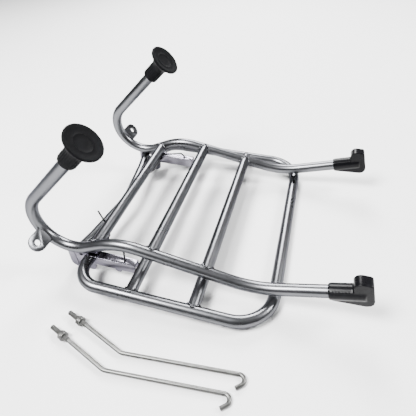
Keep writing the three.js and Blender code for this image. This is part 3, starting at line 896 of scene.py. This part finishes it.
class RACK_OT_rods(bpy.types.Operator):
    """Makes the two loose J rods with their threads, nuts and washers"""

    bl_idname = "rack.rods"
    bl_label = "J rods"

    def execute(self, context):
        pitch = math.asin(ROD_FAR_LIFT / (ROD_SHANK + ROD_REACH - 18))
        turn = Matrix.Rotation(math.radians(ROD_TURN), 3, "Z") @ Matrix.Rotation(pitch, 3, "Y")
        for letter in "ab":
            origin = middle(f"rod_nut_{letter}") - turn @ Vector((ROD_NUT_PLACE * MM, 0, 0))
            points = [origin + turn @ Vector(p) * MM for p in self.line()]
            rod = bar_along(f"drawn_rod_{letter}", points, ROD_RADIUS, roundness=5)
            thread = self.thread(f"rolled_thread_{letter}", origin, turn @ Vector((1, 0, 0)))
            only(rod)
            thread.select_set(True)
            bpy.ops.object.join()
            fitted(rod, f"rod_{letter}", "zinc_steel", material("zinc"), f"j_rod_{letter}")
            nut = finished_copy(f"rod_nut_{letter}", f"rounded_rod_nut_{letter}", 0.0006)
            fitted(nut, f"nut_{letter}", "zinc_steel", material("zinc"), f"rod_nut_{letter}")
            washer = finished_copy(f"rod_washer_{letter}", f"rounded_washer_{letter}", 0.0003)
            fitted(washer, f"washer_{letter}", "zinc_steel", material("zinc"), f"rod_washer_{letter}")
        return {"FINISHED"}

    def line(self):
        """The middle of a rod's wire: the shank, the long reach and the hook."""
        bend, hook = math.radians(ROD_BEND), -math.radians(HOOK_TURN)
        onward = Vector((math.cos(bend), math.sin(bend), 0))
        start = Vector((ROD_SHANK, 0, 0)) + onward * ROD_REACH
        corners = [((1, 0, 0), 0), ((ROD_SHANK, 0, 0), 12), (start, 0)]
        points = bent_line(corners, math.radians(3))
        centre = start + Vector((onward.y, -onward.x, 0)) * HOOK_RADIUS
        for n in range(1, HOOK_STEPS + 1):
            points.append(centre + Quaternion((0, 0, 1), hook * n / HOOK_STEPS) @ (start - centre))
        last = Quaternion((0, 0, 1), hook) @ onward
        points.append(points[-1] + last * HOOK_TAIL)
        return points

    def thread(self, name, origin, direction):
        profile = [(2.2, 0), (2.7, 0.5)]
        place = 0.8
        while place < THREAD_END:
            profile += [(2.98, place), (2.98, place + 0.15)]
            profile += [(2.55, place + 0.5), (2.55, place + 0.6)]
            place += 1.0
        profile += [(2.5, 34)]
        return turned(name, profile, origin, direction, 32, 25)


class RACK_OT_stage(bpy.types.Operator):
    """Makes the pale floor, the soft lights and the camera"""

    bl_idname = "rack.stage"
    bl_label = "Stage"

    def execute(self, context):
        bpy.ops.object.select_all(action="DESELECT")
        bpy.ops.mesh.primitive_plane_add(size=9, location=(0, 0, -0.0002))
        floor = context.active_object
        floor.name = "floor"
        floor.data.materials.append(finish("pale floor", 0.0, self.paper))
        self.sky(context)
        self.lamp("key", (-0.9, -0.7, 1.9), 0.8, 155)
        self.lamp("side", (1.7, 0.6, 1.5), 0.7, 80)
        self.lamp("back", (-0.4, 1.8, 1.5), 0.9, 100)
        self.camera(context)
        return {"FINISHED"}

    def paper(self, place):
        cloud = place.noise(1.5, 2)
        return {"Base Color": cloud.tint((0.9, 0.9, 0.9), (0.93, 0.93, 0.93)), "Roughness": 0.8}

    def sky(self, context):
        world = bpy.data.worlds.new("studio")
        context.scene.world = world
        world.use_nodes = True
        tree = world.node_tree
        place = Mix(tree, tree.nodes.new("ShaderNodeTexCoord").outputs["Generated"])
        height = place.node("ShaderNodeSeparateXYZ", (0, place), output=2) * 0.5 + 0.5
        stops = [(0.0, 0.5), (0.46, 0.4), (0.5, 0.06), (0.62, 0.08), (0.76, 0.35), (1.0, 0.5)]
        ramp = height.node("ShaderNodeValToRGB", (0, height), stops=stops)
        back = tree.nodes["Background"]
        tree.links.new(ramp.socket, back.inputs["Color"])
        back.inputs["Strength"].default_value = 0.95

    def lamp(self, name, place, size, power):
        bpy.ops.object.select_all(action="DESELECT")
        bpy.ops.object.light_add(type="AREA", location=place)
        lamp = bpy.context.active_object
        lamp.name = name
        lamp.data.size = size
        lamp.data.energy = power
        lamp.rotation_euler = (-Vector(place)).to_track_quat("-Z", "Y").to_euler()

    def camera(self, context):
        bpy.ops.object.camera_add()
        camera = context.active_object
        camera.data.sensor_width = 36
        camera.data.lens = CAMERA_LENS
        camera.data.clip_start = 0.02
        azimuth, elevation, roll = CAMERA_AZIMUTH, CAMERA_ELEVATION, CAMERA_ROLL
        level = math.cos(elevation)
        ahead = Vector(
            (-math.sin(azimuth) * level, math.cos(azimuth) * level, -math.sin(elevation))
        )
        right = ahead.cross(Vector((0, 0, 1))).normalized()
        up = right.cross(ahead)
        across = math.cos(roll) * right + math.sin(roll) * up
        upright = -math.sin(roll) * right + math.cos(roll) * up
        turn = Matrix((across, upright, -ahead)).transposed().to_4x4()
        camera.matrix_world = Matrix.Translation(CAMERA_PLACE) @ turn
        context.scene.camera = camera


class RACK_PT_panel(bpy.types.Panel):
    """Shows the rack's settings and the buttons that make its pieces in the sidebar"""

    bl_label = "Luggage rack"
    bl_idname = "RACK_PT_panel"
    bl_space_type = "VIEW_3D"
    bl_region_type = "UI"
    bl_category = "Rack"

    def draw(self, context):
        for group in (tubes(), plates(), finishes()):
            for name in group.__annotations__:
                self.layout.prop(group, name)
        for operator in OPERATORS:
            self.layout.operator(operator.bl_idname)


OPERATORS = (
    RACK_OT_long_tubes,
    RACK_OT_crossbars,
    RACK_OT_platform_loop,
    RACK_OT_welds,
    RACK_OT_brace,
    RACK_OT_plates,
    RACK_OT_hinges,
    RACK_OT_feet,
    RACK_OT_caps,
    RACK_OT_rods,
    RACK_OT_stage,
)
GROUPS = {"rack_tubes": RackTubes, "rack_plates": RackPlates, "rack_finishes": RackFinishes}


def register():
    for made in (*GROUPS.values(), *OPERATORS, RACK_PT_panel):
        bpy.utils.register_class(made)
    for name, group in GROUPS.items():
        setattr(bpy.types.Scene, name, PointerProperty(type=group))


def unregister():
    for name in GROUPS:
        delattr(bpy.types.Scene, name)
    for made in reversed((*GROUPS.values(), *OPERATORS, RACK_PT_panel)):
        bpy.utils.unregister_class(made)


def main():
    register()
    for operator in OPERATORS:
        group, name = operator.bl_idname.split(".")
        getattr(getattr(bpy.ops, group), name)()


if __name__ == "__main__":
    main()
